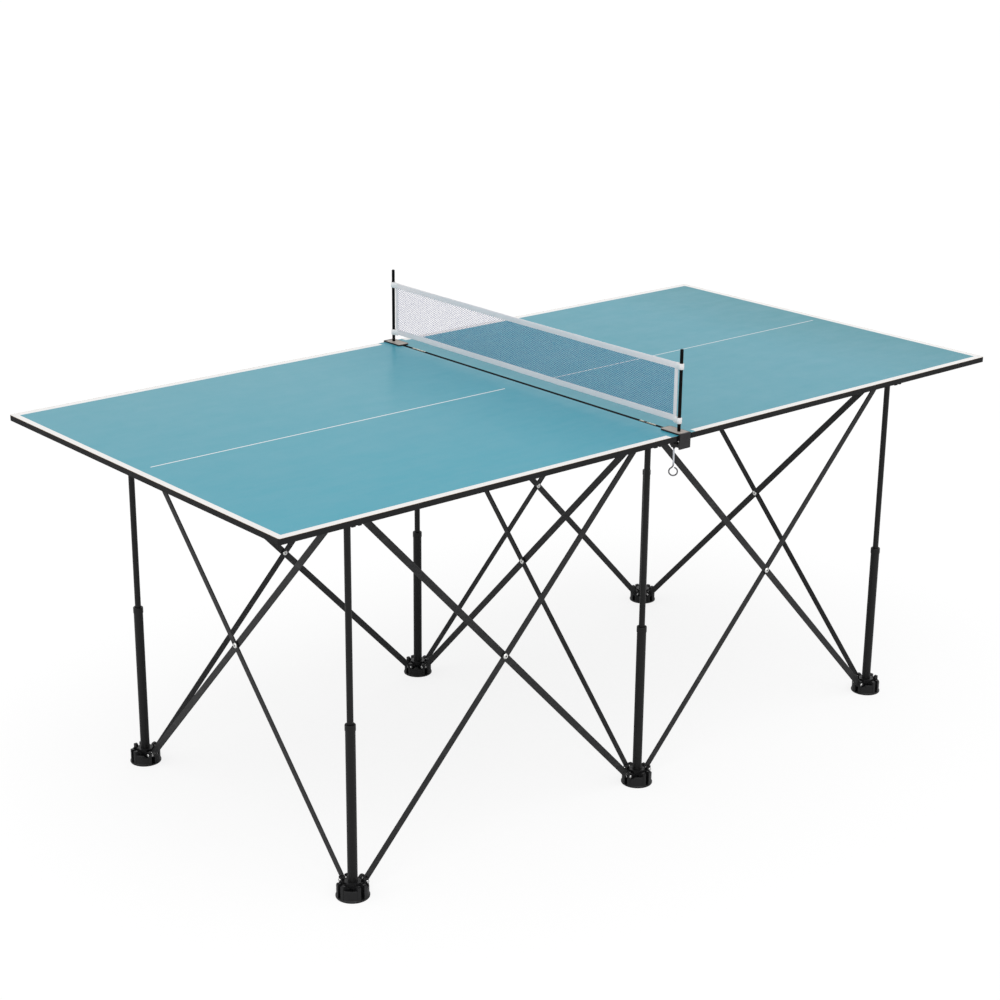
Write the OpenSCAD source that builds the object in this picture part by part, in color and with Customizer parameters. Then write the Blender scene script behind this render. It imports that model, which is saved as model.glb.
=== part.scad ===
// Folding ping pong table: two hinged half boards on a pop-up scissor frame, with a clamp-on net.
// The origin is on the floor under the middle of the table. X runs along the table, Z is up.

/* [Table top] */
// Length of the open table
table_len = 1829; // [1500:1:2100]
// Width of the table
table_width = 900; // [760:1:1100]
// Height of the playing surface above the floor
table_height = 755; // [700:1:800]
// Thickness of each half board
board_t = 11; // [8:0.5:14]
// Thickness of the black band round the board edges
band_t = 0.5; // [0.4:0.1:1.5]
// Gap between the two halves at the seam
seam_gap = 2; // [0.6:0.1:3]
// Radius of the table corners
corner_r = 4; // [2:0.5:20]

/* [Frame] */
// Distance between neighbouring posts, the same along and across the table
post_pitch = 712; // [620:1:760]
// Height of the guide cap on each lower tube
collar_height = 339; // [320:1:380]
// Outer diameter of the lower tubes
lower_tube_d = 18.5; // [16:0.5:22]
// Outer diameter of the upper tubes
upper_tube_d = 12; // [9:0.5:13]
// Wall of both tubes
tube_wall = 1.2; // [0.8:0.1:1.5]
// Width of the crossing bars
bar_w = 14; // [12:0.1:15]
// Thickness of the crossing bars
bar_t = 3; // [2:0.1:3.4]

/* [Hubs] */
// Diameter of the round hubs at both ends of a post
hub_d = 63; // [62:1:70]
// Height of the octagonal socket that holds the tube
socket_h = 30; // [28:1:34]
// Height of the hub's outer wall
wall_h = 23; // [20:1:26]
// Distance of a bar pin from the middle of its hub
pin_reach = 26.5; // [26:0.5:27]
// Height of a bar pin above the flat face of its hub
pin_h = 23; // [22:0.5:26]

/* [Net] */
// Height of the net's top edge above the table
net_top = 134; // [100:1:155]
// Height of the net's bottom edge above the table
net_bottom = 20; // [10:1:40]
// Width of the binding tape round the net
tape_w = 11; // [8:0.5:16]
// Height of the net posts above the table
net_post_h = 161; // [150:1:180]
// Diameter of the net posts
net_post_d = 6.5; // [5:0.5:8]

/* [Clamps] */
// Width of a net clamp along the table edge
clamp_w = 28; // [26:1:40]
// Width of the lower jaw
jaw_w = 14; // [13:1:26]
// Reach of the upper plate over the board
plate_reach = 51; // [45:1:60]
// Reach of the lower jaw under the board
jaw_reach = 33; // [32:1:40]
// Depth of the lower jaw's underside below the playing surface
jaw_depth = 27; // [26:1:40]
// Outer diameter of the ring on the eye screw
eye_d = 19; // [16:1:24]
// Angle at which the ring stands to the table edge
eye_turn = -45; // [-90:5:90]

/* [Hidden] */
$fn = 48;
eps = 0.01;
// clearance between bodies that pass each other, and round a pin that turns
gap = 0.3;
pin_play = 0.1;

under_board = table_height - board_t;
hub_top = under_board - gap;
half_len = table_len / 2;
half_width = table_width / 2;

// [column, row] of each post, counted from the middle, and its name
POSTS = [
    [-1, -1, "left_near"], [0, -1, "mid_near"], [1, -1, "right_near"],
    [-1, 1, "left_far"], [0, 1, "mid_far"], [1, 1, "right_far"],
];
// each crossing pair: post it starts at, direction in degrees, side its rising bar lies on, name
SPANS = [
    [POSTS[0], 0, -1, "near_left"], [POSTS[1], 0, 1, "near_right"],
    [POSTS[3], 0, -1, "far_left"], [POSTS[4], 0, 1, "far_right"],
    [POSTS[0], 90, 1, "cross_left"], [POSTS[1], 90, 1, "cross_mid"],
    [POSTS[2], 90, -1, "cross_right"],
];
SIDES = [[-1, "near"], [1, "far"]];

// bars: the pins of a crossing pair form a rectangle, span_run by span_rise
bar_gap = 0.4;
bar_offset = (bar_t + bar_gap) / 2;
span_run = post_pitch - 2 * pin_reach;
span_rise = hub_top - 2 * pin_h;
bar_len = norm([span_run, span_rise]);
bar_angle = atan(span_rise / span_run);
pin_d = 5;
rivet_d = 5;
rivet_hole = 2.6;
rivet_head_d = 10.8;
rivet_head_t = 1.3;

// hubs
hub_floor = 3.5;
wall_r = hub_d / 2 - 1.6;
socket_d = 30;
slot_w = 2 * bar_t + bar_gap + 4 * gap;
slot_start = 16.4;
fork_w = slot_w + 12.4;
ear_r = 7.5;
wall_t = 2.6;
spot_face_d = 10;
pin_head_d = 6.4;
pin_head_t = 1.6;
washer_d = 10;

// telescoping posts
collar_d = lower_tube_d + 1.6;
collar_skirt = 9;
collar_lip = 3;
guide_h = 12;
upper_tube_foot = 48;

// seam hinges
hinge_len = 44;
hinge_y = 351;
hinge_notch = 3;
leaf_t = 0.9;
barrel_d = 4.4;
knuckles = 5;
knuckle_gap = 1;

// net
net_post_y = half_width - 14;
tape_t = 1.6;
mesh_t = 0.8;
net_gap = 4.5;
net_end = net_post_y - net_post_d / 2 - net_gap;
loop_d = 10.5;
loop_h = 11.5;
loop_ends = [net_bottom - 2, net_top - loop_h];

// clamps, measured inward from the table edge and down from the playing surface
plate_t = 3;
spine_t = 3.6;
jaw_t = 6;
plate_corner = 6;
screw_in = 25;
screw_d = 5;
pad_d = 11;
pad_t = 2.6;
eye_wire = 2.8;
eye_drop = 79;

module at_post(p) {
    translate([p[0] * post_pitch, p[1] * post_pitch / 2, 0]) children();
}

// ---- hubs ----

// 2D outline of a fork cheek: X is the distance from the post axis, Y the height
module cheek_outline() {
    translate([socket_d / 2 - 2, 0]) square([pin_reach - socket_d / 2 + 2, pin_h]);
    translate([pin_reach - ear_r, 0]) square([2 * ear_r, pin_h]);
    translate([pin_reach, pin_h]) circle(ear_r);
}

module fork() {
    rotate([90, 0, 0]) linear_extrude(fork_w, center = true) cheek_outline();
}

// round body: a foot flange with rounded edges, and a wall above it
module hub_body() {
    r = hub_d / 2;
    rotate_extrude($fn = 64) polygon([
        [0, 0], [r - 1, 0], [r - 0.3, 0.3], [r, 1], [r, hub_floor - 1.1],
        [r - 0.4, hub_floor - 0.4], [wall_r + 0.6, hub_floor], [wall_r, hub_floor + 0.8],
        [wall_r, wall_h - 1.2], [wall_r - 0.4, wall_h - 0.4], [wall_r - 1.2, wall_h],
        [0, wall_h],
    ]);
}

// recess between two forks and behind the wall, open at the top
module pocket() {
    translate([0, 0, hub_floor]) linear_extrude(hub_d) intersection() {
        translate([fork_w / 2, fork_w / 2]) square(hub_d);
        circle(wall_r - wall_t);
    }
}

// body with its forks; the arms that carry a bar are bored and spot-faced for their pin
module hub_shell(p) {
    difference() {
        union() {
            difference() {
                hub_body();
                for (a = [0:90:270]) rotate(a) pocket();
            }
            rotate(22.5) cylinder(h = socket_h, d = socket_d / cos(22.5), $fn = 8);
            intersection() {
                cylinder(h = pin_h + ear_r, r = wall_r + 0.6, $fn = 64);
                for (a = [0:90:270]) rotate(a) fork();
            }
        }
        for (a = [0:90:270]) rotate(a)
            translate([slot_start, -slot_w / 2, hub_floor]) cube([hub_d, slot_w, hub_d]);
        for (a = [0:90:270]) if (arm_used(p, a))
            rotate(a) translate([pin_reach, 0, pin_h]) rotate([90, 0, 0]) {
                cylinder(h = hub_d, d = pin_d, center = true);
                for (m = [0, 1]) mirror([0, 0, m]) translate([0, 0, fork_w / 2])
                    cylinder(h = hub_d / 2, d = spot_face_d);
            }
    }
}

// pin through a fork, with a head on each side and the washer that fills the slot beside its bar
module fork_pin(bar_side) {
    translate([pin_reach, 0, pin_h]) rotate([90, 0, 0]) {
        cylinder(h = fork_w + 2 * pin_head_t, d = pin_d, center = true);
        for (m = [0, 1]) mirror([0, 0, m]) translate([0, 0, fork_w / 2])
            cylinder(h = pin_head_t, d1 = pin_head_d, d2 = pin_head_d - 1.6);
    }
    washer_t = (slot_w + bar_gap) / 2 - gap;
    translate([pin_reach, -bar_side * (slot_w / 2 - washer_t / 2), pin_h]) rotate([90, 0, 0])
        cylinder(h = washer_t, d = washer_d, center = true);
}

// side of the fork's middle plane on which the bar in it lies: it belongs to the span along that
// arm, and is the rising bar where a foot starts the span or a top hub ends it
function arm_side(p, arm, is_top) = let (
    along = arm % 180,
    forward = arm < 180,
    start = forward ? [p[0], p[1]] : along == 0 ? [p[0] - 1, p[1]] : [p[0], -1],
    found = [for (s = SPANS) if (s[1] == along && s[0][0] == start[0] && s[0][1] == start[1]) s]
) len(found) == 0 ? 0 : (forward != is_top ? 1 : -1) * found[0][2] * (forward ? 1 : -1);

// an arm is used where a neighbouring post stands in its direction
function arm_used(p, arm) = arm == 0 ? p[0] < 1 : arm == 180 ? p[0] > -1
    : arm == 90 ? p[1] < 0 : p[1] > 0;

module hub(p, is_top) {
    color("#1c1c1e") difference() {
        hub_shell(p);
        translate([0, 0, hub_floor])
            cylinder(h = hub_d, d = is_top ? upper_tube_d : lower_tube_d);
    }
    color("silver") for (arm = [0:90:270])
        if (arm_used(p, arm)) rotate(arm) fork_pin(arm_side(p, arm, is_top));
}

module foot_hub(p) {
    at_post(p) hub(p, false);
}

module top_hub(p) {
    at_post(p) translate([0, 0, hub_top]) mirror([0, 0, 1]) hub(p, true);
}

// ---- telescoping posts ----

// lower tube with the guide cap on its top end
module lower_tube(p) {
    tube_top = collar_height - collar_lip;
    bore = upper_tube_d + 2 * gap;
    color("#26262a") at_post(p) {
        difference() {
            translate([0, 0, hub_floor]) cylinder(h = tube_top - hub_floor, d = lower_tube_d);
            translate([0, 0, hub_floor - eps])
                cylinder(h = tube_top, d = lower_tube_d - 2 * tube_wall);
        }
        rotate_extrude() polygon([
            [lower_tube_d / 2, tube_top - collar_skirt], [collar_d / 2, tube_top - collar_skirt],
            [collar_d / 2, collar_height - 1.6], [collar_d / 2 - 0.5, collar_height - 0.5],
            [collar_d / 2 - 1.6, collar_height], [bore / 2 + 0.5, collar_height],
            [bore / 2, collar_height - 0.5], [bore / 2, tube_top], [lower_tube_d / 2, tube_top],
        ]);
    }
}

// upper tube with the guide bush that keeps its lower end in the lower tube
module upper_tube(p) {
    bush_d = lower_tube_d - 2 * tube_wall - 2 * gap;
    color("#26262a") at_post(p) difference() {
        union() {
            translate([0, 0, upper_tube_foot])
                cylinder(h = hub_top - hub_floor - upper_tube_foot, d = upper_tube_d);
            translate([0, 0, upper_tube_foot]) cylinder(h = guide_h, d = bush_d);
        }
        translate([0, 0, upper_tube_foot - eps])
            cylinder(h = hub_top, d = upper_tube_d - 2 * tube_wall);
    }
}

// ---- crossing bars ----

module at_span(s) {
    at_post(s[0]) rotate(s[1]) translate([post_pitch / 2, 0, hub_top / 2]) children();
}

// 2D slot shape, centred, with round ends
module slot_shape(length, width) {
    square([length - width, width], center = true);
    for (m = [-1, 1]) translate([m * (length - width) / 2, 0]) circle(width / 2);
}

// flat bar with round edges and round ends, bored for three pins; X along it, Y through it
module flat_bar() {
    full_len = bar_len + bar_w;
    difference() {
        intersection() {
            rotate([90, 0, 90]) linear_extrude(full_len, center = true)
                rotate(90) slot_shape(bar_w, bar_t);
            rotate([90, 0, 0]) linear_extrude(bar_t, center = true) slot_shape(full_len, bar_w);
        }
        for (x = [-bar_len / 2, 0, bar_len / 2]) translate([x, 0, 0]) rotate([90, 0, 0])
            cylinder(h = 2 * bar_t, d = pin_d + 2 * pin_play, center = true);
    }
}

module bar(s, rises) {
    side = rises ? s[2] : -s[2];
    color("#2d2d30") at_span(s) translate([0, side * bar_offset, 0])
        rotate([0, rises ? -bar_angle : bar_angle, 0]) flat_bar();
}

// tubular rivet with a flange on each side of the crossing
module rivet(s) {
    grip = 2 * bar_t + bar_gap + gap;
    shift = s[2] * -gap / 2;
    color("gainsboro") at_span(s) translate([0, shift, 0]) rotate([90, 0, 0]) difference() {
        union() {
            cylinder(h = grip, d = rivet_d, center = true);
            for (m = [0, 1]) mirror([0, 0, m]) translate([0, 0, grip / 2])
                cylinder(h = rivet_head_t, d1 = rivet_head_d, d2 = rivet_head_d - 2.4);
        }
        cylinder(h = 4 * grip, d = rivet_hole, center = true);
    }
}

// ---- table top ----

// 2D rectangle from [x0, y0] to [x1, y1] with the corners on one side rounded
module half_outline(x0, x1, y, r, side) {
    outer = side < 0 ? x0 : x1;
    translate([side < 0 ? x0 + r : x0, -y]) square([x1 - x0 - r, 2 * y]);
    translate([side < 0 ? x0 : x1 - r, -y + r]) square([r, 2 * (y - r)]);
    for (m = [-1, 1]) translate([outer - side * r, m * (y - r)]) circle(r);
}

// plan of one half, shrunk by inset on every edge
module half_plan(side, inset) {
    near = seam_gap / 2 + inset;
    far = half_len - inset;
    half_outline(side < 0 ? -far : near, side < 0 ? -near : far, half_width - inset,
        corner_r - inset, side);
}

module hinge_notches() {
    for (m = [-1, 1]) translate([-hinge_notch, m * hinge_y - hinge_len / 2, -eps])
        cube([2 * hinge_notch, hinge_len, board_t + 2 * eps]);
}

module panel(side) {
    color("#6fa8b8") translate([0, 0, under_board]) difference() {
        linear_extrude(board_t) half_plan(side, band_t);
        hinge_notches();
    }
}

module edge_bands() {
    color("#202022") translate([0, 0, under_board]) difference() {
        for (side = [-1, 1]) linear_extrude(board_t) difference() {
            half_plan(side, 0);
            half_plan(side, band_t);
        }
        hinge_notches();
    }
}

// butt hinges let into the seam faces, their barrels level with the playing surface
module seam_hinges() {
    leaf_h = board_t - barrel_d / 2 - 0.6;
    knuckle = hinge_len / knuckles;
    color("#b9a98c") for (m = [-1, 1]) translate([0, m * hinge_y, under_board]) {
        for (side = [-1, 1])
            translate([side * (hinge_notch - leaf_t / 2) - leaf_t / 2, -hinge_len / 2, 0.6])
                cube([leaf_t, hinge_len, leaf_h]);
        for (k = [0:knuckles - 1]) {
            arm = k % 2 == 0 ? 1 : -1;
            y0 = -hinge_len / 2 + k * knuckle;
            translate([0, y0, board_t - barrel_d / 2]) rotate([-90, 0, 0])
                cylinder(h = knuckle - knuckle_gap, d = barrel_d);
            translate([arm > 0 ? 0 : -hinge_notch, y0, board_t - barrel_d / 2 - leaf_t])
                cube([hinge_notch, knuckle - knuckle_gap, leaf_t]);
        }
        translate([0, -hinge_len / 2, board_t - barrel_d / 2]) rotate([-90, 0, 0])
            cylinder(h = hinge_len, d = barrel_d / 2);
    }
}

// ---- net ----

module net_mesh() {
    y = net_end - tape_w;
    color("#9fb4c8", 0.6) translate([-mesh_t / 2, -y, table_height + net_bottom + tape_w])
        cube([mesh_t, 2 * y, net_top - net_bottom - 2 * tape_w]);
}

// tape sewn round the net, with the loops that thread over the posts
module net_binding() {
    color("gainsboro") translate([0, 0, table_height]) {
        rotate([90, 0, 90]) linear_extrude(tape_t, center = true) difference() {
            translate([-net_end, net_bottom]) square([2 * net_end, net_top - net_bottom]);
            translate([-net_end + tape_w, net_bottom + tape_w])
                square([2 * (net_end - tape_w), net_top - net_bottom - 2 * tape_w]);
        }
        for (m = [-1, 1], z = loop_ends) translate([0, m * net_post_y, z]) difference() {
            union() {
                cylinder(h = loop_h, d = loop_d);
                translate([-tape_t / 2, m > 0 ? -net_post_y + net_end - tape_w : 0,
                    loop_h / 2 - tape_w / 2])
                    cube([tape_t, net_post_y - net_end + tape_w, tape_w]);
            }
            translate([0, 0, -eps])
                cylinder(h = loop_h + 2 * eps, d = net_post_d + 2 * gap);
        }
    }
}

// ---- net clamps ----

// places a clamp with X along the table edge, Y inward from the edge and Z = 0 at the surface
module at_edge(side) {
    translate([0, side * half_width, table_height]) rotate(side > 0 ? 180 : 0) children();
}

// plan of an arm of the clamp: square at the spine, round corners of radius r at its end
module arm_plan(width, reach, r) {
    translate([-width / 2, -spine_t]) square([width, reach + spine_t - r]);
    translate([-width / 2 + r, 0]) square([width - 2 * r, reach]);
    for (m = [-1, 1]) translate([m * (width / 2 - r), reach - r]) circle(r);
}

module net_clamp(side) {
    nut_d = 12;
    nut_h = 3;
    color("#2a2a2c") at_edge(side) difference() {
        union() {
            linear_extrude(plate_t) arm_plan(clamp_w, plate_reach, plate_corner);
            translate([-clamp_w / 2, -spine_t, -jaw_depth])
                cube([clamp_w, spine_t, jaw_depth + plate_t]);
            translate([0, 0, -jaw_depth]) linear_extrude(jaw_t)
                arm_plan(jaw_w, jaw_reach, jaw_w / 2 - 0.5);
            translate([0, screw_in, -jaw_depth - nut_h]) cylinder(h = jaw_t + nut_h, d = nut_d);
        }
        translate([0, screw_in, -jaw_depth - board_t])
            cylinder(h = jaw_depth, d = screw_d + pin_play);
    }
}

module net_post(side) {
    color("#151516") at_edge(side) translate([0, half_width - net_post_y, plate_t]) {
        cylinder(h = net_post_h - plate_t - 1, d = net_post_d);
        translate([0, 0, net_post_h - plate_t - 1])
            cylinder(h = 1, d1 = net_post_d, d2 = net_post_d - 1.6);
    }
}

// pad on the end of the screw, which presses the board up against the plate
module clamp_pad(side) {
    color("#1a1a1b") at_edge(side) translate([0, screw_in, -board_t - gap - pad_t]) difference() {
        cylinder(h = pad_t, d1 = pad_d - 2, d2 = pad_d);
        translate([0, 0, -eps]) cylinder(h = pad_t / 2, d = screw_d + 2 * gap);
    }
}

// thumb screw bent from one rod, its lower end turned into a ring
module eye_screw(side) {
    screw_top = -board_t - gap - pad_t / 2 - gap;
    ring_r = (eye_d - eye_wire) / 2;
    shank_end = -eye_drop + ring_r;
    color("silver") at_edge(side) translate([0, screw_in, 0]) {
        translate([0, 0, -jaw_depth - 6]) cylinder(h = jaw_depth + 6 + screw_top, d = screw_d);
        translate([0, 0, shank_end]) cylinder(h = -jaw_depth - 6 - shank_end, d = eye_wire + 0.6);
        translate([0, 0, -eye_drop]) rotate([90, 0, eye_turn]) rotate_extrude()
            translate([ring_r, 0]) circle(eye_wire / 2, $fn = 24);
    }
}

// ---- assembly ----

for (p = POSTS) {
    foot_hub(p);
    lower_tube(p);
    upper_tube(p);
    top_hub(p);
}
for (s = SPANS) {
    bar(s, true);
    bar(s, false);
    rivet(s);
}
panel(-1);  // panel_left
panel(1);  // panel_right
edge_bands();
seam_hinges();
net_mesh();
net_binding();
for (s = SIDES) {
    net_clamp(s[0]);
    net_post(s[0]);
    clamp_pad(s[0]);
    eye_screw(s[0]);
}
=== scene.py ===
"""The looks of the folding ping pong table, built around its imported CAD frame, in metres."""
import math

import bpy
import numpy as np
from mathutils import Matrix, Vector


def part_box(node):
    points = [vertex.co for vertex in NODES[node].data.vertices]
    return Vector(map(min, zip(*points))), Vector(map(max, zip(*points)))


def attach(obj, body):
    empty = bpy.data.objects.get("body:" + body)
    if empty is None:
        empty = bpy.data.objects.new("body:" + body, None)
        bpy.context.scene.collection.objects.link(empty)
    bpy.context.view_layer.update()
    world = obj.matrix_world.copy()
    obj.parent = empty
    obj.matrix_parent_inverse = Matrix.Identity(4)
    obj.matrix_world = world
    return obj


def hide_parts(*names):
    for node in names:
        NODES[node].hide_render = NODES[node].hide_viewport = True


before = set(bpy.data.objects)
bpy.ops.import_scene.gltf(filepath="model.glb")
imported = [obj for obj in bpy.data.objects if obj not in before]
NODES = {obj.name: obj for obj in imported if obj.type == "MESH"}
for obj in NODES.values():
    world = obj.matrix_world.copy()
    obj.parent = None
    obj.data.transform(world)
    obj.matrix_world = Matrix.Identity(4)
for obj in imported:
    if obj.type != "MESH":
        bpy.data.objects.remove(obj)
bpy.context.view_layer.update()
MM = 0.001

# ---- places taken from the CAD ----

TABLE_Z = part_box("panel_left")[1].z
HALF_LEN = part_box("edge_bands")[1].x
HALF_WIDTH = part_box("edge_bands")[1].y
MESH_LO, MESH_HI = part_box("net_mesh")
TAPE_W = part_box("net_binding")[1].z - MESH_HI.z
NET_END = MESH_HI.y + TAPE_W
NET_BOTTOM = MESH_LO.z - TAPE_W
NET_TOP = MESH_HI.z + TAPE_W
POST_Y = (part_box("net_post_far")[0].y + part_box("net_post_far")[1].y) / 2
HUB_SPOTS = {name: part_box("foot_hub_" + name) for name in (
    "left_near", "mid_near", "right_near", "left_far", "mid_far", "right_far")}
HUB_PITCH = HUB_SPOTS["mid_near"][0].x - HUB_SPOTS["left_near"][0].x
HUB_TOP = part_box("top_hub_mid_near")[1].z

# ---- sizes repeated from the CAD's source, because the frame does not give them ----

# bar pins: height above the sole of their hub, and distance from its middle
PIN_H, PIN_REACH = 0.023, 0.0265
# reach of the pins' bright heads and washers, a little past their rims
PIN_HEAD_R, WASHER_R = 0.0033, 0.0052
# half widths of a fork and of the slot in it
FORK_HALF, SLOT_HALF = 0.010, 0.0038
# half length of a seam hinge, and the distance of its middle from the net's middle
HINGE_HALF = 0.022
HINGE_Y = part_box("seam_hinges")[1].y - HINGE_HALF
# lower end of the screws' thread
THREAD_END = TABLE_Z - 0.033

# ---- the boards' painted pattern ----

# the white lines' inner edges, measured from the outside of the black band
END_LINE, SIDE_LINE = 0.0138, 0.0155
# distances from the seam at which the side lines start, and the centre line starts and ends
SIDE_START = 0.032
CENTRE_START, CENTRE_END = 0.055, 0.877
# half widths of the centre line on the left and on the right board
CENTRE_LEFT, CENTRE_RIGHT = 0.0015, 0.0011
# width of the black margin painted on each side of the seam, as shade of the gap between the boards
SEAM_SHADE_WIDTH = 0.0048
# black of the painted seam shade, on the boards' margins, the edge band in the seam and the hinges'
# left halves
SEAM_SHADE_BLACK = (0.004, 0.004, 0.0045)
# distance from the seam within which the edge band is painted black, as shade of the seam
SEAM_SHADE_REACH = 0.02


# ---- material building ----

class Paint:
    """A Principled material, with short ways to lay pattern nodes over its plain values."""

    def __init__(self, name, colour, roughness, **fixed):
        self.material = bpy.data.materials.new(name)
        self.material.use_nodes = True
        self.tree = self.material.node_tree
        self.shader = self.tree.nodes["Principled BSDF"]
        self.shader.inputs["Base Color"].default_value = (*colour, 1)
        self.shader.inputs["Roughness"].default_value = roughness
        for socket, value in fixed.items():
            self.shader.inputs[socket.replace("_", " ")].default_value = value
        self.place = self.add("ShaderNodeTexCoord").outputs["Object"]

    def add(self, kind, **settings):
        made = self.tree.nodes.new(kind)
        for key, value in settings.items():
            setattr(made, key, value)
        return made

    def put(self, value, socket):
        if isinstance(value, bpy.types.NodeSocket):
            self.tree.links.new(value, socket)
        else:
            socket.default_value = value

    def set(self, socket, value):
        self.put(value, self.shader.inputs[socket])

    def axes(self):
        made = self.add("ShaderNodeSeparateXYZ")
        self.put(self.place, made.inputs[0])
        return made.outputs

    def math(self, operation, *values):
        made = self.add("ShaderNodeMath", operation=operation)
        for value, socket in zip(values, made.inputs):
            self.put(value, socket)
        return made.outputs[0]

    def chain(self, operation, values):
        made = values[0]
        for value in values[1:]:
            made = self.math(operation, made, value)
        return made

    def all_of(self, *masks):
        return self.chain("MULTIPLY", masks)

    def any_of(self, *masks):
        return self.chain("MAXIMUM", masks)

    def distance(self, *offsets):
        squares = [self.math("MULTIPLY", offset, offset) for offset in offsets]
        return self.math("SQRT", self.chain("ADD", squares))

    def spread(self, value, low, high, to_low=0.0, to_high=1.0):
        made = self.add("ShaderNodeMapRange")
        for given, socket in zip((value, low, high, to_low, to_high), made.inputs):
            self.put(given, socket)
        return made.outputs[0]

    def below(self, value, limit, soft=0.0002):
        return self.spread(value, limit - soft, limit + soft, 1.0, 0.0)

    def above(self, value, limit, soft=0.0002):
        return self.spread(value, limit - soft, limit + soft)

    def noise(self, scale, detail, stretch=(1, 1, 1), rough=0.5):
        mapping = self.add("ShaderNodeMapping")
        self.put(self.place, mapping.inputs["Vector"])
        mapping.inputs["Scale"].default_value = stretch
        made = self.add("ShaderNodeTexNoise")
        self.put(mapping.outputs[0], made.inputs["Vector"])
        made.inputs["Scale"].default_value = scale
        made.inputs["Detail"].default_value = detail
        made.inputs["Roughness"].default_value = rough
        return made.outputs[0]

    def mottle(self, scale, detail, low, high):
        """A value that wanders between low and high."""
        return self.spread(self.noise(scale, detail), 0.3, 0.7, low, high)

    def mix(self, share, low, high):
        made = self.add("ShaderNodeMix", data_type="RGBA")
        self.put(share, made.inputs["Factor"])
        for value, socket in ((low, made.inputs[6]), (high, made.inputs[7])):
            self.put((*value, 1) if isinstance(value, tuple) else value, socket)
        return made.outputs[2]

    def bump(self, height, strength, depth):
        made = self.add("ShaderNodeBump")
        made.inputs["Strength"].default_value = strength
        made.inputs["Distance"].default_value = depth
        self.put(height, made.inputs["Height"])
        self.set("Normal", made.outputs[0])


def coated_steel(name, shade, stretch, shine=0.2):
    """Black powder coat: a fine orange peel, and faint rubbed streaks along the piece."""
    paint = Paint(name, (shade, shade, shade), 0.42, Specular_IOR_Level=shine)
    fleck = paint.spread(paint.noise(420, 3), 0.35, 0.65)
    rubs = paint.spread(paint.noise(60, 5, stretch, 0.65), 0.56, 0.8)
    dark, light, rubbed = shade * 0.6, shade * 1.4, shade * 2.4
    tone = paint.mix(fleck, (dark, dark, dark * 1.04), (light, light, light * 1.03))
    paint.set("Base Color", paint.mix(rubs, tone, (rubbed, rubbed, rubbed)))
    paint.set("Roughness", paint.mottle(140, 3, 0.36, 0.5))
    paint.bump(paint.noise(1500, 2), 0.18, 0.0002)
    return paint.material


def white_lines(paint, x, y):
    """Mask of the printed lines along the ends, the sides and the middle of the boards."""
    along, across = paint.math("ABSOLUTE", x), paint.math("ABSOLUTE", y)
    end_line = paint.above(along, HALF_LEN - END_LINE)
    side_line = paint.all_of(paint.above(across, HALF_WIDTH - SIDE_LINE),
                             paint.above(along, SIDE_START))
    wider_left = paint.all_of(paint.below(across, CENTRE_LEFT), paint.below(x, 0))
    middle = paint.any_of(paint.below(across, CENTRE_RIGHT), wider_left)
    centre_line = paint.all_of(middle, paint.below(along, CENTRE_END),
                               paint.above(along, CENTRE_START))
    return paint.any_of(end_line, side_line, centre_line)


def teal_with_net_shade(paint, x, y, cloud):
    """The playing surface's teal: each board's tone shifts across its width, the right board
    darkens toward its end and is lighter just past the seam, and painted shade darkens the left
    board beside the net, standing in for the net's shadow and the reflection it blocks; with
    streaks and fine grain.
    """
    far_left, far_right = paint.spread(y, -0.4, 0.4), paint.spread(y, -0.3, 0.35)
    # painted shadow: the left board darkens beside the net, as under the net's shadow and where the
    # net blocks its reflection
    painted_net_shadow = paint.all_of(paint.above(x, -0.17, 0.11), paint.below(x, -0.01, 0.006))
    right_end = paint.spread(x, 0.62, 0.92)
    behind_seam = paint.below(x, 0.027, 0.01)
    left = paint.mix(far_left, (0.054, 0.374, 0.482), (0.098, 0.370, 0.453))
    left = paint.mix(paint.math("MULTIPLY", painted_net_shadow, 0.55), left, (0.015, 0.28, 0.38))
    right = paint.mix(far_right, (0.080, 0.346, 0.433), (0.066, 0.333, 0.418))
    right = paint.mix(right_end, right, (0.035, 0.262, 0.318))
    right = paint.mix(behind_seam, right, (0.078, 0.39, 0.476))
    teal = paint.mix(paint.above(x, 0), left, right)
    streak = paint.spread(paint.noise(34, 5, (0.25, 1, 1), 0.6), 0.35, 0.7)
    grain = paint.spread(paint.noise(700, 2), 0.3, 0.7)
    for mask, share, tint in ((cloud, 0.18, (0.12, 0.35, 0.45)),
                              (streak, 0.2, (0.165, 0.42, 0.52)),
                              (grain, 0.12, (0.07, 0.31, 0.42))):
        teal = paint.mix(paint.math("MULTIPLY", mask, share), teal, tint)
    return teal


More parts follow.
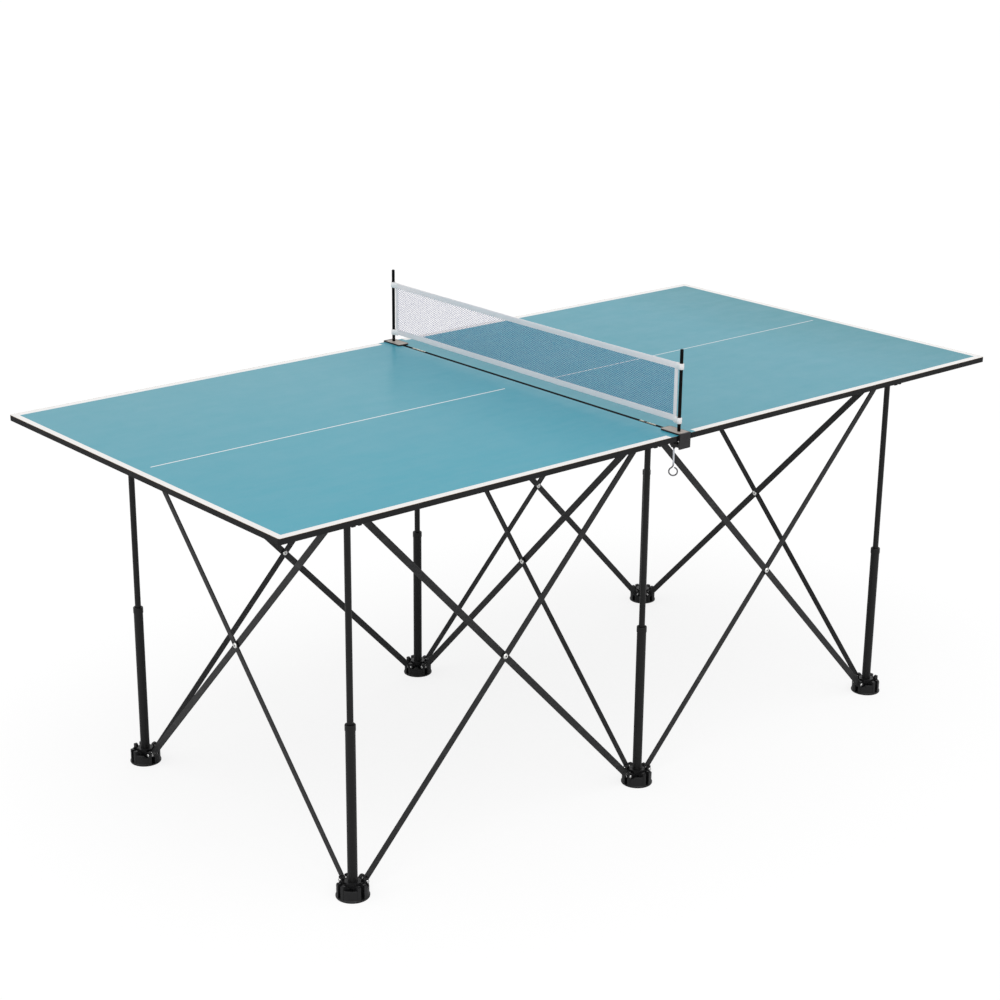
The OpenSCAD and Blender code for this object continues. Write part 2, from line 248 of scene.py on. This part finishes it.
def board_material():
    """Painted board: teal with printed white lines on top, black laminate underneath."""
    paint = Paint("board_paint", (0.1, 0.35, 0.45), 0.5, Specular_IOR_Level=0.12)
    x, y, z = paint.axes()
    lines = white_lines(paint, x, y)
    cloud = paint.spread(paint.noise(2.2, 3), 0.35, 0.65)
    white = paint.mix(cloud, (0.90, 0.885, 0.87), (0.95, 0.935, 0.92))
    # painted shade: a matt black margin along the seam stands in for the shadowed gap between the
    # boards
    seam_shade = paint.below(paint.math("ABSOLUTE", x), SEAM_SHADE_WIDTH)
    off_hinge = paint.math("SUBTRACT", paint.math("ABSOLUTE", y), HINGE_Y)
    # painted highlight: pale dashes on the right board's margin beside each hinge stand in for the
    # hinge's lit edge
    painted_hinge_glint = paint.all_of(paint.above(x, 0),
                         paint.below(paint.math("ABSOLUTE", off_hinge), HINGE_HALF),
                         paint.spread(paint.noise(170, 2), 0.42, 0.5))
    margin = paint.mix(painted_hinge_glint, SEAM_SHADE_BLACK, (0.84, 0.81, 0.70))
    teal = teal_with_net_shade(paint, x, y, cloud)
    top = paint.mix(seam_shade, paint.mix(lines, teal, white), margin)
    fibre = paint.noise(260, 4, (0.2, 1, 1))
    under = paint.mix(fibre, (0.012, 0.012, 0.013), (0.028, 0.028, 0.029))
    is_top = paint.above(z, TABLE_Z - 0.0006)
    paint.set("Base Color", paint.mix(is_top, under, top))
    marks = paint.spread(paint.noise(26, 6, (1, 1, 1), 0.7), 0.3, 0.75, 0.28, 0.36)
    paint.set("Roughness", paint.math("MAXIMUM", marks, seam_shade))
    relief = paint.math("ADD", paint.math("MULTIPLY", lines, 0.6), paint.noise(1100, 2))
    paint.bump(relief, 0.12, 0.0002)
    return paint.material


def band_material():
    """Black edging, trimmed at its upper rim so that the board's brown fibre shows, and painted
    blacker near the seam as shade.
    """
    paint = Paint("edge_band_plastic", (0.016, 0.016, 0.017), 0.6, Specular_IOR_Level=0.07)
    x, _, z = paint.axes()
    outer = paint.math("GREATER_THAN", paint.math("ABSOLUTE", x), SEAM_SHADE_REACH)
    rim = paint.all_of(outer, paint.spread(z, TABLE_Z - 0.0003, TABLE_Z - 0.0002))
    tone = paint.mix(paint.noise(18, 4, (1, 1, 0.2)), (0.016, 0.016, 0.0165),
                     (0.027, 0.027, 0.028))
    fibre = paint.mix(paint.noise(300, 4), (0.36, 0.225, 0.105), (0.26, 0.16, 0.075))
    # painted shade: near the seam the band takes the seam's shade black instead of its own tone
    paint.set("Base Color", paint.mix(rim, paint.mix(outer, SEAM_SHADE_BLACK, tone), fibre))
    paint.set("Roughness", paint.mottle(90, 3, 0.5, 0.7))
    paint.bump(paint.noise(900, 3), 0.2, 0.0002)
    return paint.material


def hub_material(spot, foot):
    """Moulded black plastic; the pins through its forks and their washers are bright steel."""
    paint = Paint("hub_plastic_" + spot, (0.008, 0.008, 0.009), 0.4, Specular_IOR_Level=0.3)
    lo, hi = HUB_SPOTS[spot]
    x, y, z = paint.axes()
    dx = paint.math("SUBTRACT", x, (lo.x + hi.x) / 2)
    dy = paint.math("SUBTRACT", y, (lo.y + hi.y) / 2)
    rise = paint.math("SUBTRACT", z, PIN_H if foot else HUB_TOP - PIN_H)

    def pin(reach, side, way):
        """Mask of the pin that lies way (1 or -1) along reach and points along side."""
        far = paint.distance(paint.math("SUBTRACT", reach, way * PIN_REACH), rise)
        side = paint.math("ABSOLUTE", side)
        outside_fork = paint.math("GREATER_THAN", side, FORK_HALF + 0.00002)
        inside_slot = paint.math("LESS_THAN", side, SLOT_HALF - 0.0002)
        head = paint.all_of(paint.math("LESS_THAN", far, PIN_HEAD_R), outside_fork)
        washer = paint.all_of(paint.math("LESS_THAN", far, WASHER_R), inside_slot)
        return paint.any_of(head, washer)

    pins = [pin(dy, dx, 1 if "near" in spot else -1)]
    if "right" not in spot:
        pins.append(pin(dx, dy, 1))
    if "left" not in spot:
        pins.append(pin(dx, dy, -1))
    metal = paint.any_of(*pins)
    plastic = paint.mix(paint.noise(45, 3), (0.006, 0.006, 0.0065), (0.013, 0.013, 0.014))
    steel = paint.mix(paint.noise(300, 3), (0.66, 0.66, 0.65), (0.82, 0.82, 0.81))
    paint.set("Base Color", paint.mix(metal, plastic, steel))
    paint.set("Metallic", metal)
    satin = paint.mottle(160, 4, 0.34, 0.5)
    paint.set("Roughness", paint.math("SUBTRACT", satin, paint.math("MULTIPLY", metal, 0.12)))
    paint.bump(paint.noise(1300, 3), 0.2, 0.0002)
    return paint.material


def hinge_material():
    """Brass butt hinges whose left half, beside the left board, is painted black as shade."""
    paint = Paint("hinge_brass", (0.9, 0.84, 0.70), 0.45, Metallic=0.35)
    # painted shade: the left half of each hinge is black, as in the shade of the seam; the right
    # half shows the lit brass
    lit_right_half = paint.spread(paint.axes()[0], -0.0004, 0.0002)
    drawn = paint.noise(500, 3, (1, 0.2, 1))
    brass = paint.mix(paint.spread(drawn, 0.35, 0.75), (1.0, 0.95, 0.82), (0.74, 0.69, 0.57))
    paint.set("Base Color", paint.mix(lit_right_half, SEAM_SHADE_BLACK, brass))
    paint.set("Roughness", paint.mottle(220, 4, 0.36, 0.6))
    paint.bump(drawn, 0.1, 0.0001)
    return paint.material


def screw_material():
    """Plated rod: dark thread, bright shank and a darker ring."""
    paint = Paint("screw_zinc", (0.6, 0.63, 0.68), 0.2, Metallic=1.0)
    z = paint.axes()[2]
    thread = paint.above(z, THREAD_END, 0.001)
    ring = paint.below(z, TABLE_Z - 0.064, 0.004)
    drawn = paint.noise(500, 3, (1, 1, 0.3))
    bright = paint.mix(paint.spread(drawn, 0.35, 0.75), (0.72, 0.75, 0.80), (0.5, 0.53, 0.57))
    tone = paint.mix(ring, bright, (0.17, 0.17, 0.18))
    paint.set("Base Color", paint.mix(thread, tone, (0.035, 0.035, 0.037)))
    paint.set("Roughness", paint.mottle(220, 4, 0.16, 0.3))
    paint.bump(drawn, 0.1, 0.0001)
    return paint.material


def rivet_material():
    """Bright steel flanges, with painted shade darkening the bores of the rivets."""
    paint = Paint("rivet_steel", (0.92, 0.92, 0.90), 0.3, Metallic=1.0)
    x, y, z = paint.axes()
    rise = paint.math("SUBTRACT", z, HUB_TOP / 2)
    # the rivets of the long sides lie half way between two hubs, and the others on y = 0
    along = paint.math("SUBTRACT", paint.math("ABSOLUTE", x), HUB_PITCH / 2)
    out = paint.math("MINIMUM", paint.math("ABSOLUTE", along), paint.math("ABSOLUTE", y))
    bore_r, lip = 0.00165, 0.00025
    # painted shade: the rivets' bores are painted dark, as the shade inside them
    bore_shade = paint.below(paint.distance(out, rise), bore_r, lip)
    worn = paint.spread(paint.noise(420, 3), 0.35, 0.75)
    flange = paint.mix(worn, (0.94, 0.94, 0.92), (0.74, 0.74, 0.72))
    paint.set("Base Color", paint.mix(bore_shade, flange, (0.10, 0.10, 0.10)))
    paint.set("Roughness", paint.mottle(260, 3, 0.24, 0.4))
    paint.bump(worn, 0.1, 0.0001)
    return paint.material


def clamp_material():
    """Black coated clamp whose upper plate has a pale face inside a dark rim."""
    paint = Paint("clamp_coat", (0.02, 0.02, 0.021), 0.45, Specular_IOR_Level=0.35)
    x, y, z = paint.axes()
    along, across = paint.math("ABSOLUTE", x), paint.math("ABSOLUTE", y)
    lo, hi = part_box("net_clamp_far")
    rim = 0.0011
    face = paint.all_of(paint.math("GREATER_THAN", z, hi.z - 0.0001),
                        paint.math("LESS_THAN", along, hi.x - rim),
                        paint.math("LESS_THAN", across, HALF_WIDTH - 0.0003),
                        paint.math("GREATER_THAN", across, lo.y + rim))
    coat = paint.mix(paint.noise(70, 3), (0.008, 0.008, 0.009), (0.018, 0.018, 0.019))
    pale = paint.mix(paint.noise(160, 5, (0.3, 1, 1)), (0.33, 0.29, 0.255), (0.44, 0.40, 0.365))
    paint.set("Base Color", paint.mix(face, coat, pale))
    paint.set("Roughness", paint.mottle(200, 3, 0.38, 0.55))
    paint.bump(paint.noise(1400, 2), 0.2, 0.0002)
    return paint.material


def rubber_material():
    """Matt black rubber of the pressure pads."""
    paint = Paint("pad_rubber_skin", (0.012, 0.012, 0.012), 0.75)
    tone = paint.noise(220, 4)
    paint.set("Base Color", paint.mix(tone, (0.008, 0.008, 0.008), (0.022, 0.022, 0.021)))
    paint.set("Roughness", paint.spread(tone, 0.3, 0.7, 0.65, 0.85))
    paint.bump(paint.noise(1800, 3), 0.3, 0.0002)
    return paint.material


def woven(name, light, dark, rib=0.0007):
    """Woven tape: ribs across a plain weave, in the plane of the net."""
    paint = Paint(name, light, 0.85, Sheen_Weight=0.25, Sheen_Roughness=0.5,
                  Specular_IOR_Level=0.2)
    _, y, z = paint.axes()
    waves = [paint.math("SINE", paint.math("MULTIPLY", value, 2 * math.pi / rib))
             for value in (y, z)]
    weave = paint.spread(paint.math("MULTIPLY", *waves), -1.0, 1.0)
    soiled = paint.spread(paint.noise(16, 4), 0.35, 0.7)
    base = paint.mix(soiled, light, tuple(0.95 * value for value in light))
    paint.set("Base Color", paint.mix(paint.math("MULTIPLY", weave, 0.45), base, dark))
    paint.set("Roughness", paint.spread(weave, 0.0, 1.0, 0.78, 0.95))
    fuzz = paint.math("ADD", weave, paint.math("MULTIPLY", paint.noise(2500, 2), 0.5))
    paint.bump(fuzz, 0.35, 0.0002)
    return paint.material


def yarn_material():
    """Twisted yarn of a deep blue."""
    deep = (0.001, 0.02, 0.24)
    paint = Paint("net_yarn", deep, 0.7, Specular_IOR_Level=0.1)
    twist = paint.noise(1600, 2, (1, 1, 0.4))
    tone = paint.mix(twist, (0.001, 0.008, 0.19), (0.002, 0.03, 0.30))
    paint.set("Base Color", paint.mix(paint.noise(12, 2), tone, deep))
    paint.set("Roughness", paint.spread(twist, 0.3, 0.7, 0.6, 0.8))
    paint.bump(twist, 0.3, 0.0001)
    return paint.material


# ---- CAD nodes and their materials ----

bar_coat = coated_steel("bar_coat", 0.024, (0.3, 0.3, 1))
# painted light: the far bars' coat is lighter, making up for the less light that reaches them
far_bar_painted_light_coat = coated_steel("far_bar_painted_light_coat", 0.034, (0.3, 0.3, 1))
tube_coat = coated_steel("tube_coat", 0.004, (1, 1, 0.15), 0.3)
post_coat = coated_steel("net_post_coat", 0.002, (1, 1, 0.15), 0.08)
screw_steel = screw_material()
# material of the nodes whose names start so; of two starts that fit, the later one counts
FINISHES = {
    "lower_tube_": tube_coat, "upper_tube_": tube_coat,
    "bar_up_": bar_coat, "bar_down_": bar_coat,
    "bar_up_far_": far_bar_painted_light_coat, "bar_down_far_": far_bar_painted_light_coat,
    "rivet_": rivet_material(), "panel_": board_material(), "edge_bands": band_material(),
    "seam_hinges": hinge_material(), "net_clamp_": clamp_material(), "net_post_": post_coat,
    "clamp_pad_": rubber_material(), "eye_screw_": screw_steel,
}
for start, foot in (("foot_hub_", True), ("top_hub_", False)):
    for spot in HUB_SPOTS:
        FINISHES[start + spot] = hub_material(spot, foot)

for node, piece in NODES.items():
    for start, material in FINISHES.items():
        if node.startswith(start):
            for slot in piece.material_slots:
                slot.link = "OBJECT"
                slot.material = material


# ---- mesh building ----

def around(sides):
    """Angles of points evenly spaced round a full turn."""
    return np.arange(sides) * 2 * math.pi / sides


class Form:
    """Points and faces gathered for one piece."""

    def __init__(self):
        self.points, self.faces = [], []

    def add(self, points, faces):
        start = len(self.points)
        self.points.extend(map(tuple, points))
        self.faces.extend(tuple(start + i for i in face) for face in faces)

    def rings(self, rings, closed_ends=True):
        """Joins rings of equal point counts into a tube, and closes its two ends."""
        count = len(rings[0])
        faces = []
        for k in range(len(rings) - 1):
            for i in range(count):
                j = (i + 1) % count
                faces.append((k * count + i, k * count + j,
                              (k + 1) * count + j, (k + 1) * count + i))
        if closed_ends:
            last = (len(rings) - 1) * count
            faces.append(tuple(reversed(range(count))))
            faces.append(tuple(range(last, last + count)))
        self.add(np.concatenate(rings), faces)

    def rod(self, path, radii, across, sides):
        """A round rod along a path in the plane square to the unit vector across."""
        path = np.asarray(path, float)
        heading = np.gradient(path, axis=0)
        heading /= np.linalg.norm(heading, axis=1)[:, None]
        across = np.asarray(across, float)
        side = np.cross(across, heading)
        turn = around(sides)
        self.rings([p + r * (np.cos(turn)[:, None] * s + np.sin(turn)[:, None] * across)
                    for p, s, r in zip(path, side, radii)])

    def piece(self, name, body, material, slot):
        mesh = bpy.data.meshes.new(name)
        mesh.from_pydata(self.points, [], self.faces)
        mesh.validate()
        mesh.polygons.foreach_set("use_smooth", [True] * len(mesh.polygons))
        mesh.materials.append(material)
        made = bpy.data.objects.new(name, mesh)
        bpy.context.scene.collection.objects.link(made)
        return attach(made, body)


# ---- net ----

# yarn radius, its weave out of the net's plane, the gap between neighbours and their slope
YARN_R = 0.00027
YARN_SWAY = 0.00018
YARN_GAP = 0.0035
YARN_SLOPE = math.radians(33)
# how far the yarns run on inside the tape
YARN_TUCK = 0.004


def hang(points):
    """Lets points of the taut net sag a little and lean out of plane between the posts."""
    points = np.array(points, float)
    y = points[:, 1] / NET_END
    height = (points[:, 2] - NET_BOTTOM) / (NET_TOP - NET_BOTTOM)
    slack = np.clip(1 - y * y, 0, 1)
    sag = 0.0006 + 0.0012 * height
    lean = 0.0009 * np.sin(2.3 * y + 0.5) + 0.0005 * np.sin(9 * y + 4 * height)
    points[:, 2] -= slack * sag
    points[:, 0] += slack * lean
    return points


def net_yarn():
    """Crossing yarns of a diamond mesh, each passing over and under the next."""
    step = YARN_GAP / math.sin(YARN_SLOPE)
    rise = step * math.tan(YARN_SLOPE) / 2
    low, high = MESH_LO.z - YARN_TUCK, MESH_HI.z + YARN_TUCK
    edge = MESH_HI.y + YARN_TUCK
    reach = (high - low) / math.tan(YARN_SLOPE)
    count = math.ceil((2 * edge + reach) / step)
    z = np.arange(low, high + rise, rise)
    sway = YARN_SWAY * (-1.0) ** np.arange(len(z))
    turn = around(4)
    form = Form()
    for lean in (-1, 1):
        side = np.array([0, lean * math.sin(YARN_SLOPE), -math.cos(YARN_SLOPE)])
        section = YARN_R * (np.cos(turn)[:, None] * np.array([1.0, 0, 0])
                            + np.sin(turn)[:, None] * side)
        for i in range(count + 1):
            start = -edge + i * step - (reach if lean > 0 else 0)
            y = start + lean * (z - low) / math.tan(YARN_SLOPE)
            kept = np.abs(y) <= edge
            if kept.sum() >= 2:
                path = np.stack([lean * sway, y, z], 1)[kept]
                form.rings([hang(p + section) for p in path])
    return form.piece("net_yarn", "net", yarn_material(), "net_fabric")


# the folded tape's section: distance from its fold and half thickness there, in mm
TAPE_SECTION = ((0.0, 0.0), (0.15, 0.42), (0.7, 0.72), (2.5, 0.66), (5.0, 0.58), (7.4, 0.66),
                (8.5, 0.42), (9.6, 0.64), (10.6, 0.6), (11.0, 0.35))
# the row of stitches: its distance from the fold, the part of the tape that it draws in, its
# pitch, half a stitch's length, its thread's radius and its crown, in mm
STITCH_LINE = 8.5
STITCH_ZONE = (7, 10)
STITCH_PITCH = 3.4
STITCH_HALF = 1.25
STITCH_R = 0.19
STITCH_CROWN = 0.24
# width of the tape along the net and at its ends, as a share of the CAD's tape
LONG_TAPE, END_TAPE = 1.09, 0.8
# height and radii of the loops round the posts, and how near to the net's end they are sewn on
LOOP_H = 0.0115
LOOP_IN, LOOP_OUT = 0.0035, 0.0050
LOOP_NECK = 0.008


def run(start, end):
    """Length in mm, and direction, of the run from start to end."""
    length = np.linalg.norm(end - start) / MM
    return length, (end - start) / (length * MM)


def tape(form, start, end, inward, thick, wide):
    """Folded tape from start to end; inward points from its fold to its open edge."""
    length, heading = run(start, end)
    out = np.array([1.0, 0, 0])
    scale = wide * TAPE_W / MM / TAPE_SECTION[-1][0]
    count = int(length / STITCH_PITCH) * 2
    rings = []
    for k in range(count + 1):
        at = length * k / count
        pinch = 0.86 if k % 2 else 1.0
        swell = 1 + 0.05 * math.sin(at * 0.9)
        ripple = 0.10 * math.sin(at * 0.11) + 0.06 * math.sin(at * 0.37 + 1)
        section = []
        for side, rows in ((1, TAPE_SECTION), (-1, TAPE_SECTION[:0:-1])):
            for deep, half in rows:
                sewn = STITCH_ZONE[0] < deep < STITCH_ZONE[1]
                h = half * thick * (pinch if sewn else swell)
                d = deep * scale + ripple * max(0, 1 - deep / 6)
                section.append(start + heading * at * MM + inward * d * MM
                               + out * side * h * MM)
        rings.append(hang(section))
    form.rings(rings)


def stitches(form, start, end, inward, line, rise=0.46):
    """Thread stitches on both faces of a tape, line mm from its fold and rise mm off its middle."""
    length, heading = run(start, end)
    count = int(length / STITCH_PITCH)
    arc = np.linspace(-1, 1, 7)
    lift = (rise + STITCH_CROWN * (1 - arc ** 4)) * MM
    radii = STITCH_R * MM * np.sqrt(np.clip(1 - arc ** 4, 0.15, 1))
    for k in range(count):
        middle = start + heading * (k + 0.5) * length / count * MM + inward * line * MM
        for side in (1, -1):
            path = (middle + heading * (arc * STITCH_HALF * MM)[:, None]
                    + np.array([side, 0, 0]) * lift[:, None])
            form.rod(hang(path), radii, inward, 6)


def loop(form, y_side, z_low):
    """Sleeve of tape round a net post, drawn together where it is sewn to the net."""
    sides = 40
    soft, crown, inset = 0.0005, 0.0002, 0.0004
    neck = NET_END - LOOP_NECK - POST_Y
    turn = around(sides)
    toward_net = np.clip(-np.cos(turn), 0, 1) ** 6
    rings = []
    levels = ((0.0, LOOP_IN, 0), (0.0, LOOP_OUT - soft, 1), (inset, LOOP_OUT, 1),
              (LOOP_H / 2, LOOP_OUT + crown, 1), (LOOP_H - inset, LOOP_OUT, 1),
              (LOOP_H, LOOP_OUT - soft, 1), (LOOP_H, LOOP_IN, 0), (0.0, LOOP_IN, 0))
    for z, radius, drawn in levels:
        x = radius * np.sin(turn)
        y = radius * np.cos(turn)
        if drawn:
            y = y * (1 - toward_net) + (neck + inset * (radius < LOOP_OUT)) * toward_net
            x = x * (1 - 0.15 * toward_net)
        rings.append(np.stack([x, y_side * (POST_Y + y), np.full(sides, z_low + z)], 1))
    form.rings(rings, closed_ends=False)


def make_net():
    """Yarns, the tape round them, four loops and the stitching."""
    yarn = net_yarn()
    tapes, thread, loops = Form(), Form(), Form()
    inset = 0.002

    def bind(start, end, inward, thick, wide, trim):
        """Tape from start to end, sewn down along a row that stops trim short of both ends."""
        start, end, inward = (np.array(v, float) for v in (start, end, inward))
        tape(tapes, start, end, inward, thick, wide)
        way = end - start
        way = way / np.linalg.norm(way) * trim
        stitches(thread, start + way, end - way, inward, STITCH_LINE * wide)

    for m in (-1, 1):
        for z in (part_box("net_binding")[0].z, NET_TOP - LOOP_H):
            loop(loops, m, z)
            low, high = (np.array([0, m * (NET_END - inset), level])
                         for level in (z + inset / 2, z + LOOP_H - inset / 2))
            stitches(thread, low, high, np.array([0, -m, 0.0]), line=2.2, rise=0.78)
    for z, inward in ((NET_TOP, -1), (NET_BOTTOM, 1)):
        bind((0, -NET_END, z), (0, NET_END, z), (0, 0, inward),
             thick=1.0, wide=LONG_TAPE, trim=0.004)
    for m in (-1, 1):
        bind((0, m * NET_END, NET_BOTTOM + inset), (0, m * NET_END, NET_TOP - inset), (0, -m, 0),
             thick=0.8, wide=END_TAPE, trim=0.010)

    tape_cloth = woven("net_tape_weave", (0.96, 0.915, 0.93), (0.81, 0.77, 0.79))
    loop_cloth = woven("net_loop_weave", (0.97, 0.96, 0.96), (0.80, 0.79, 0.80), 0.0009)
    thread_cloth = woven("net_thread", (0.86, 0.85, 0.88), (0.66, 0.65, 0.69), 0.0005)
    made = [tapes.piece("net_tape", "net", tape_cloth, "tape_fabric"),
            loops.piece("net_loops", "net", loop_cloth, "tape_fabric"),
            thread.piece("net_stitching", "net", thread_cloth, "tape_fabric")]
    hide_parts("net_mesh")
    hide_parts("net_binding")


# ---- eye screws ----

# radii of the thread, of the shank, of the ring's wire and of the ring's middle line
SCREW_R, SHANK_R, WIRE_R, RING_R = 0.0025, 0.0017, 0.0014, 0.0081
SCREW_PITCH, THREAD_DEPTH = 0.0015, 0.00046
# angles from the ring's top: where the wire runs into it, and the gap left at its end
RING_START, RING_GAP = 0.61, 0.2
# height of the bend above the ring, and how far its two ends run straight
BEND_H, BEND_LEAD, BEND_TAIL = 0.0075, 0.0045, 0.004
# points along the shank, the bend and the ring, and along the bend's thinning part
SHANK_POINTS, BEND_POINTS, RING_POINTS, THINNING = 8, 14, 55, 6


def threaded_rod(form, x, y, z_low, z_high):
    """Upright rod with a helical thread and softened ends."""
    sides, per_turn = 24, 8
    chamfer, softened = 0.0005, 0.0008
    turn = around(sides)
    rings = []
    for z in np.arange(z_low, z_high, SCREW_PITCH / per_turn):
        phase = (z / SCREW_PITCH - turn / (2 * math.pi)) % 1
        groove = THREAD_DEPTH * np.clip(np.abs(phase - 0.5) * 2.6 - 0.3, 0, 1)
        full = np.clip(min(z - z_low, z_high - z) / softened, 0, 1)
        r = SCREW_R - groove - chamfer * (1 - full)
        rings.append(np.stack([x + r * np.cos(turn), y + r * np.sin(turn),
                               np.full(sides, z)], 1))
    form.rings(rings)


def eye_line(centre_z):
    """Middle line of the shank, the bend and the open ring, as (sideways, z) points."""
    joint = np.array([-RING_R * math.sin(RING_START), centre_z + RING_R * math.cos(RING_START)])
    way = np.array([-math.cos(RING_START), -math.sin(RING_START)])
    top = np.array([0.0, centre_z + RING_R + BEND_H])
    corners = np.array([top, top - (0, BEND_LEAD), joint - way * BEND_TAIL, joint])
    t = np.linspace(0, 1, BEND_POINTS)[:, None]
    bend = ((1 - t) ** 3 * corners[0] + 3 * t * (1 - t) ** 2 * corners[1]
            + 3 * t * t * (1 - t) * corners[2] + t ** 3 * corners[3])
    angle = np.linspace(RING_START, 2 * math.pi - RING_GAP, RING_POINTS + 1)[1:]
    ring = np.stack([-RING_R * np.sin(angle), centre_z + RING_R * np.cos(angle)], 1)
    overlap = 0.001
    heights = np.linspace(THREAD_END + overlap, top[1] + overlap, SHANK_POINTS)
    shank = np.stack([np.zeros(SHANK_POINTS), heights], 1)
    return np.concatenate([shank, bend, ring])


def eye_screw(side):
    """Threaded rod with its lower end bent sideways and round into an open eye."""
    node = "eye_screw_" + side
    lo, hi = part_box(node)
    x, y = (lo.x + hi.x) / 2, (lo.y + hi.y) / 2
    facing = math.radians(-45 if side == "near" else 135)
    form = Form()
    threaded_rod(form, x, y, THREAD_END, hi.z)
    line = eye_line(lo.z + RING_R + WIRE_R)
    path = np.stack([x + line[:, 0] * math.cos(facing), y + line[:, 0] * math.sin(facing),
                     line[:, 1]], 1)
    radii = np.full(len(path), WIRE_R)
    radii[:SHANK_POINTS] = SHANK_R
    radii[SHANK_POINTS:SHANK_POINTS + THINNING] = np.linspace(SHANK_R, WIRE_R, THINNING)
    radii[-2:] = WIRE_R * 0.9, WIRE_R * 0.6
    form.rod(path, radii, (-math.sin(facing), math.cos(facing), 0), 14)
    made = form.piece("eye_bolt_" + side, "screw_" + side, screw_steel, "screw_metal")
    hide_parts(node)


make_net()
for side in ("near", "far"):
    eye_screw(side)


# ---- floor, light and camera ----

def ray_share(tree, *kinds):
    """1 for rays of these kinds, 0 for the others."""
    path = tree.nodes.new("ShaderNodeLightPath")
    share = path.outputs[kinds[0]]
    for kind in kinds[1:]:
        joined = tree.nodes.new("ShaderNodeMath")
        joined.operation = "MAXIMUM"
        tree.links.new(share, joined.inputs[0])
        tree.links.new(path.outputs[kind], joined.inputs[1])
        share = joined.outputs[0]
    return share


def shader(tree, kind, level, strength=None):
    """Output of a grey or white shader node."""
    made = tree.nodes.new(kind)
    made.inputs["Color"].default_value = (level, level, level, 1)
    if strength is not None:
        made.inputs["Strength"].default_value = strength
    return made.outputs[0]


def join(tree, kind, first, second, share=None):
    """Output of a node that mixes or adds two shaders."""
    made = tree.nodes.new(kind)
    if share is not None:
        tree.links.new(share, made.inputs["Fac"])
    tree.links.new(first, made.inputs[-2])
    tree.links.new(second, made.inputs[-1])
    return made.outputs[0]


def make_world():
    """Even studio light, and a white backdrop for the camera and in reflections."""
    world = bpy.data.worlds.new("studio")
    bpy.context.scene.world = world
    world.use_nodes = True
    tree = world.node_tree
    tree.nodes.clear()
    lit = shader(tree, "ShaderNodeBackground", 1, 0.62)
    seen = shader(tree, "ShaderNodeBackground", 1, 1.0)
    share = ray_share(tree, "Is Camera Ray", "Is Glossy Ray", "Is Transmission Ray")
    output = tree.nodes.new("ShaderNodeOutputWorld")
    tree.links.new(join(tree, "ShaderNodeMixShader", lit, seen, share), output.inputs["Surface"])


def make_floor():
    """Pale floor that the camera sees brighter than the object does, with the shadows kept."""
    half = 60.0
    mesh = bpy.data.meshes.new("floor")
    mesh.from_pydata([(-half, -half, 0), (half, -half, 0), (half, half, 0), (-half, half, 0)],
                     [], [(0, 1, 2, 3)])
    floor = bpy.data.objects.new("floor", mesh)
    bpy.context.scene.collection.objects.link(floor)
    material = bpy.data.materials.new("floor_paper")
    material.use_nodes = True
    mesh.materials.append(material)
    tree = material.node_tree
    tree.nodes.clear()
    paper = shader(tree, "ShaderNodeBsdfDiffuse", 0.85)
    seen = join(tree, "ShaderNodeAddShader", shader(tree, "ShaderNodeBsdfDiffuse", 0.22),
                shader(tree, "ShaderNodeEmission", 0.82))
    output = tree.nodes.new("ShaderNodeOutputMaterial")
    tree.links.new(join(tree, "ShaderNodeMixShader", paper, seen,
                        ray_share(tree, "Is Camera Ray")), output.inputs["Surface"])


def make_sun(name, strength, spread, heading, lift):
    """Soft sun; spread, heading and lift above the floor are in degrees."""
    lamp = bpy.data.lights.new(name, "SUN")
    lamp.energy = strength
    lamp.angle = math.radians(spread)
    made = bpy.data.objects.new(name, lamp)
    bpy.context.scene.collection.objects.link(made)
    made.rotation_euler = (math.radians(90 - lift), 0, math.radians(heading))


def make_camera(place, heading, tilt, roll, focal_length):
    """Camera at place, aimed by its heading from +Y, its downward tilt and its roll."""
    forward = Vector((math.sin(heading) * math.cos(tilt), math.cos(heading) * math.cos(tilt),
                      -math.sin(tilt)))
    right = Vector((math.cos(heading), -math.sin(heading), 0))
    up = right.cross(forward)
    across = right * math.cos(roll) + up * math.sin(roll)
    upward = up * math.cos(roll) - right * math.sin(roll)
    lens = bpy.data.cameras.new("camera")
    lens.lens = focal_length
    lens.sensor_width = 36
    lens.clip_end = 200
    camera = bpy.data.objects.new("camera", lens)
    bpy.context.scene.collection.objects.link(camera)
    turned = Matrix((across, upward, -forward)).transposed().to_4x4()
    turned.translation = Vector(place)
    camera.matrix_world = turned
    bpy.context.scene.camera = camera


make_world()
make_floor()
make_sun("key", strength=0.9, spread=50, heading=-20, lift=62)
make_sun("fill", strength=0.35, spread=60, heading=-110, lift=40)
make_camera((-2.61981, -2.96998, 1.85107), heading=0.710408, tilt=0.327395, roll=0.009788,
            focal_length=72.843)
bpy.context.scene.view_settings.view_transform = "Standard"
